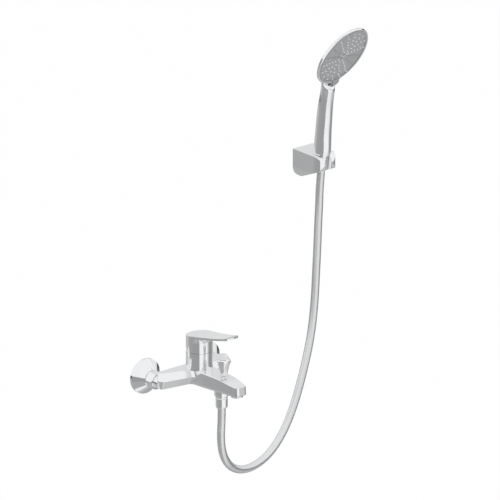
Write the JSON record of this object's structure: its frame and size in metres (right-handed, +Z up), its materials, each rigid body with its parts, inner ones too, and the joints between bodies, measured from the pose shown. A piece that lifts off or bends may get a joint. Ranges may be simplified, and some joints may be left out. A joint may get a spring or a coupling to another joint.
{
  "type": "shower mixer",
  "caption": "Wall-mounted single-lever bath and shower mixer with spout, diverter knob, hose, wall holder and round hand shower.",
  "frame": {"origin": "midpoint between the two wall inlets, on the finished wall's plane", "axes": "+Y into the wall along the inlets, +X to the right for someone facing the wall, +Z up"},
  "size_m": [0.5015, 0.2214, 0.8531],
  "materials": {
    "chrome": "polished chrome plating on brass",
    "brass": "machined",
    "steel": "bright stainless steel",
    "rubber": "matt",
    "ceramic": "lapped ceramic",
    "inner_plastic": "moulded",
    "chromed_plastic": "chrome-plated plastic",
    "grey_plastic": "satin grey",
    "nozzle_rubber": "soft light grey",
    "spindle_brass": "machined"
  },
  "bodies": {
    "mixer": {"aerator_housing": "chrome", "aerator_insert": "inner_plastic", "aerator_seal": "rubber", "cartridge_base": "inner_plastic", "cartridge_retaining_nut": "brass", "cartridge_seals": "rubber", "cartridge_shell": "inner_plastic", "diverter_guide": "chrome", "diverter_guide_seal": "rubber", "diverter_spring": "steel", "eccentric_union_left": "chrome", "eccentric_union_right": "chrome", "escutcheon_left": "chrome", "escutcheon_right": "chrome", "fixed_ceramic_disc": "ceramic", "holder_block": "chromed_plastic", "holder_grub_screw": "steel", "holder_screws": "steel", "holder_wall_plate": "inner_plastic", "hose_insert_lower": "brass", "hose_nut_lower": "chrome", "hose_washer_lower": "rubber", "inlet_tail_left": "chrome", "inlet_tail_right": "chrome", "mixer_body": "chrome", "shower_hose": "steel", "shower_outlet_nipple": "chrome", "strainer_washers": "rubber", "trim_dome": "chrome", "union_nut_left": "chrome", "union_nut_right": "chrome"},
    "lever_turn": {"cartridge_carrier": "inner_plastic", "tilt_pin": "steel"},
    "lever": {"cartridge_spindle": "spindle_brass", "lever_handle": "chrome", "lever_grub_screw": "steel", "lever_index_plug": "chromed_plastic"},
    "moving_disc": {"moving_ceramic_disc": "ceramic", "disc_driver": "inner_plastic"},
    "diverter": {"diverter_stem": "brass", "diverter_valve_disc": "rubber", "diverter_knob": "chrome"},
    "hose_end": {"hose_cone_nut_upper": "chrome", "hose_washer_upper": "rubber", "hose_insert_upper": "brass"},
    "hand_shower": {"handset_body": "chromed_plastic", "handset_inlet": "inner_plastic", "head_rim_ring": "chromed_plastic", "spray_distributor": "inner_plastic", "spray_plate_screw": "steel"},
    "spray_selector": {"spray_plate": "grey_plastic", "spray_selector_ring": "grey_plastic", "spray_nozzles": "nozzle_rubber"}
  },
  "joints": [
    {"name": "lever_turn", "type": "hinge", "parent": "mixer", "child": "lever_turn", "pos_m": [0, -0.075, 0.06], "axis": [0, 0, 1], "range_deg": [-45, 45]},
    {"name": "lever_tilt", "type": "hinge", "parent": "lever_turn", "child": "lever", "pos_m": [0, -0.075, 0.06], "axis": [-1, 0, 0], "range_deg": [0, 22]},
    {"name": "disc_slide", "type": "slide", "parent": "lever_turn", "child": "moving_disc", "axis": [0, -1, 0], "range_m": [0, 0.0056]},
    {"name": "diverter_pull", "type": "slide", "parent": "mixer", "child": "diverter", "axis": [0, 0, 1], "range_m": [0, 0.007], "stiffness_N_per_m": 400, "springref_m": -0.004, "deforming": ["diverter_spring"]},
    {"name": "hose_end_lift", "type": "slide", "parent": "mixer", "child": "hose_end", "axis": [0, -0.1219, 0.9925], "range_m": [0, 0.045]},
    {"name": "hand_shower_swivel", "type": "hinge", "parent": "hose_end", "child": "hand_shower", "pos_m": [0.3225, -0.0595, 0.3816], "axis": [0, -0.1219, 0.9925], "range_deg": [-45, 45]},
    {"name": "spray_select", "type": "hinge", "parent": "hand_shower", "child": "spray_selector", "pos_m": [0.32669, -0.1154, 0.59226], "axis": [-0.1321, 0.8942, 0.4278], "range_deg": [-30, 30]}
  ],
  "couplings": [
    {"joint": "disc_slide", "follows": "lever_tilt", "m_per_rad": 0.0145}
  ]
}
